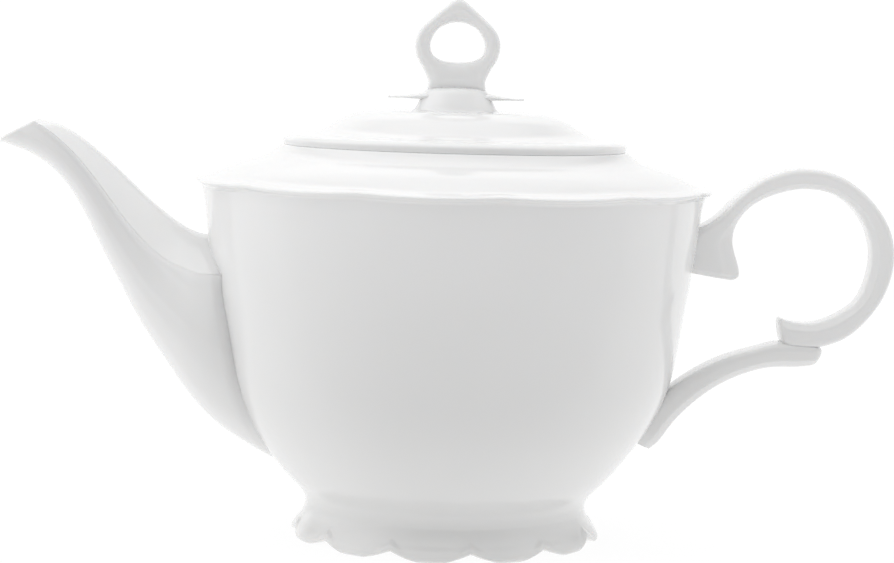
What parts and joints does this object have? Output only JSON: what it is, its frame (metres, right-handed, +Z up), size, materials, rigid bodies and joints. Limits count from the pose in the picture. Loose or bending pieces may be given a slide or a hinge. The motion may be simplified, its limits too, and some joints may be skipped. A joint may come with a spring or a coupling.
{
  "type": "teapot",
  "caption": "White porcelain teapot with a beaked spout, ring handle, scalloped foot and a lift-off lid with a pointed ring knob.",
  "frame": {"origin": "centre of the plane the foot rests on, on the pot's vertical axis", "axes": "+Z up along the pot's axis, -X towards the spout, +X towards the handle, -Y towards the viewer"},
  "size_m": [0.2545, 0.1464, 0.1527],
  "materials": {
    "glaze": "clear gloss glaze over white porcelain"
  },
  "bodies": {
    "pot": {"bowl": "glaze", "shoulder": "glaze", "lip": "glaze", "foot_ring": "glaze", "spout": "glaze", "handle_loop": "glaze", "handle_leg": "glaze"},
    "lid_ring": {"lid_flange": "glaze"},
    "lid_top": {"lid": "glaze", "knob_plate": "glaze", "knob_ring": "glaze"}
  },
  "joints": [
    {"name": "lid_lift", "type": "slide", "parent": "pot", "child": "lid_ring", "axis": [0, 0, 1], "range_m": [0, 0.06]},
    {"name": "lid_turn", "type": "hinge", "parent": "lid_ring", "child": "lid_top", "pos_m": [0, 0, 0.1111], "axis": [0, 0, 1], "continuous": true}
  ]
}
